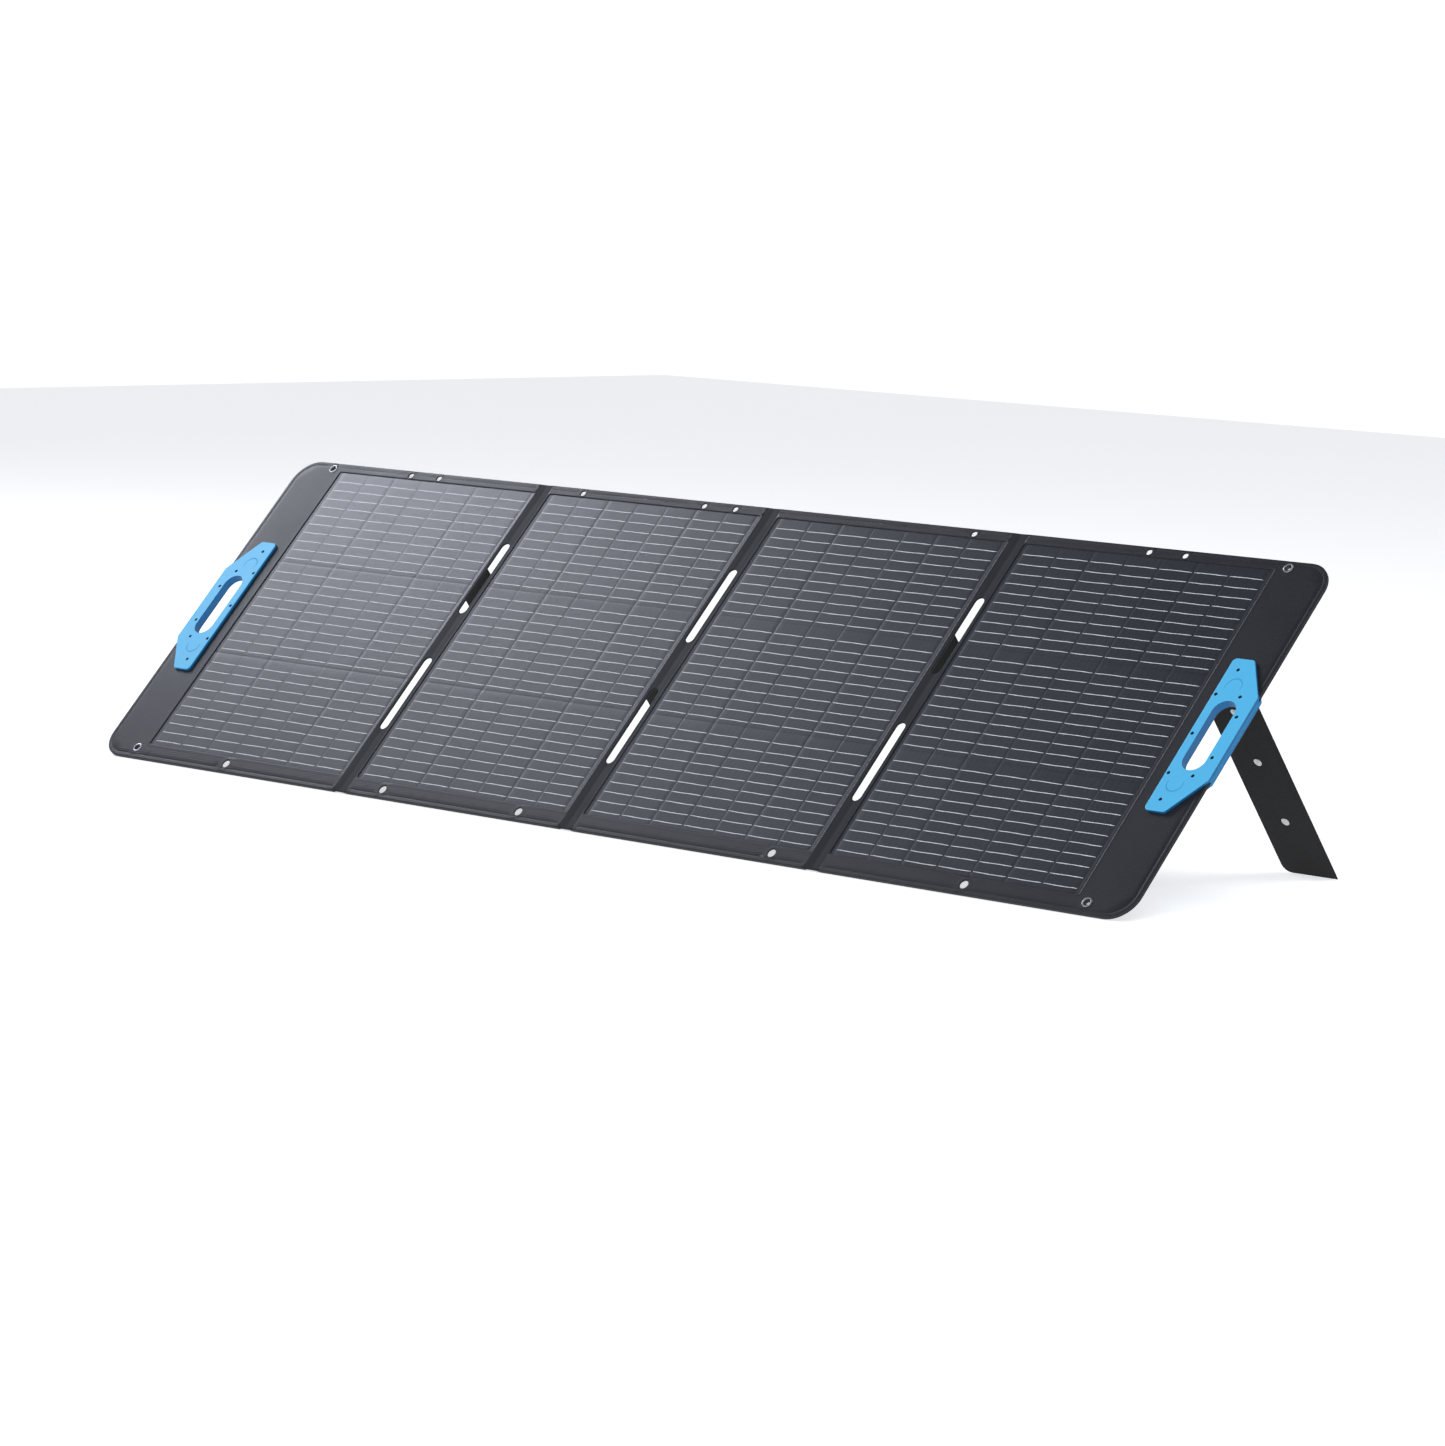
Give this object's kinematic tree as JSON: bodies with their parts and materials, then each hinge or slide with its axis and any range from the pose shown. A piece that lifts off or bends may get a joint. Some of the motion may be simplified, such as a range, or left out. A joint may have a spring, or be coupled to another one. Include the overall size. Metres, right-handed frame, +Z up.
{
  "type": "folding solar panel",
  "caption": "Folding solar panel: hinged fabric sections with framed solar cells, moulded carrying handles at both ends and fold-out legs behind that lean it towards the sun.",
  "frame": {"origin": "middle of the base of the bounding box, with the panel unfolded and standing on its legs", "axes": "+X along the row of sections to the right of a viewer in front, +Y to the back, +Z up; the cells face -Y and up"},
  "size_m": [2.074, 0.563, 0.4461],
  "materials": {
    "front_fabric": "matte coated polyester",
    "back_fabric": "matte woven polyester",
    "board": "plain",
    "film": "pebbled, satin",
    "cell": "smooth",
    "ribbon": "tinned",
    "backsheet": "smooth",
    "handle_plastic": "fine moulded texture",
    "screw_metal": "zinc plated",
    "magnet_metal": "nickel plated",
    "eyelet_metal": "nickel plated",
    "snap_metal": "nickel plated",
    "leg_fabric": "matte woven polyester",
    "box_plastic": "fine moulded texture",
    "diode_plastic": "moulded epoxy"
  },
  "bodies": {
    "section_1": {"section_1_front_cover": "front_fabric", "section_1_back_cover": "back_fabric", "section_1_board": "board", "section_1_film": "film", "section_1_ribbons": "ribbon", "section_1_cells": "cell", "section_1_backsheet": "backsheet", "leg_1_hinge_patch": "leg_fabric", "left_handle_front": "handle_plastic", "left_handle_back": "handle_plastic", "left_handle_screws": "screw_metal", "left_handle_magnets": "magnet_metal", "left_eyelets": "eyelet_metal", "junction_box_housing": "box_plastic", "junction_box_lid": "box_plastic", "cable_gland": "box_plastic", "bypass_diodes": "diode_plastic"},
    "section_2": {"section_2_front_cover": "front_fabric", "section_2_back_cover": "back_fabric", "section_2_board": "board", "section_2_film": "film", "section_2_ribbons": "ribbon", "section_2_cells": "cell", "section_2_backsheet": "backsheet", "leg_2_hinge_patch": "leg_fabric"},
    "section_3": {"section_3_front_cover": "front_fabric", "section_3_back_cover": "back_fabric", "section_3_board": "board", "section_3_film": "film", "section_3_ribbons": "ribbon", "section_3_cells": "cell", "section_3_backsheet": "backsheet", "leg_3_hinge_patch": "leg_fabric"},
    "section_4": {"section_4_front_cover": "front_fabric", "section_4_back_cover": "back_fabric", "section_4_board": "board", "section_4_film": "film", "section_4_ribbons": "ribbon", "section_4_cells": "cell", "section_4_backsheet": "backsheet", "leg_4_hinge_patch": "leg_fabric", "right_handle_front": "handle_plastic", "right_handle_back": "handle_plastic", "right_handle_screws": "screw_metal", "right_handle_magnets": "magnet_metal", "right_eyelets": "eyelet_metal"},
    "leg_1": {"leg_1_sleeve": "leg_fabric", "leg_1_core": "board", "leg_1_snaps": "snap_metal"},
    "leg_2": {"leg_2_sleeve": "leg_fabric", "leg_2_core": "board", "leg_2_snaps": "snap_metal"},
    "leg_3": {"leg_3_sleeve": "leg_fabric", "leg_3_core": "board", "leg_3_snaps": "snap_metal"},
    "leg_4": {"leg_4_sleeve": "leg_fabric", "leg_4_core": "board", "leg_4_snaps": "snap_metal"}
  },
  "joints": [
    {"name": "fold_2", "type": "hinge", "parent": "section_2", "child": "section_3", "pos_m": [0, -0.06805, 0.2184], "axis": [0, 0.6824, 0.731], "range_deg": [0, 178]},
    {"name": "fold_1", "type": "hinge", "parent": "section_2", "child": "section_1", "pos_m": [-0.479, -0.07726, 0.227], "axis": [0, 0.6824, 0.731], "range_deg": [0, 178]},
    {"name": "fold_3", "type": "hinge", "parent": "section_3", "child": "section_4", "pos_m": [0.479, -0.07726, 0.227], "axis": [0, 0.6824, 0.731], "range_deg": [-178, 0]},
    {"name": "leg_1_fold", "type": "hinge", "parent": "section_1", "child": "leg_1", "pos_m": [-0.553, 0.0308, 0.32517], "axis": [1, 0, 0], "range_deg": [-80.6, 0]},
    {"name": "leg_2_fold", "type": "hinge", "parent": "section_2", "child": "leg_2", "pos_m": [-0.254, 0.0308, 0.32517], "axis": [1, 0, 0], "range_deg": [-80.6, 0]},
    {"name": "leg_3_fold", "type": "hinge", "parent": "section_3", "child": "leg_3", "pos_m": [0.387, 0.0308, 0.32517], "axis": [1, 0, 0], "range_deg": [-80.6, 0]},
    {"name": "leg_4_fold", "type": "hinge", "parent": "section_4", "child": "leg_4", "pos_m": [0.899, 0.0308, 0.32517], "axis": [1, 0, 0], "range_deg": [-80.6, 0]}
  ],
  "couplings": [
    {"joint": "fold_1", "follows": "fold_2", "ratio": 1},
    {"joint": "fold_3", "follows": "fold_2", "ratio": -1},
    {"joint": "leg_2_fold", "follows": "fold_2", "ratio": -0.4528},
    {"joint": "leg_3_fold", "follows": "fold_2", "ratio": -0.4528}
  ]
}
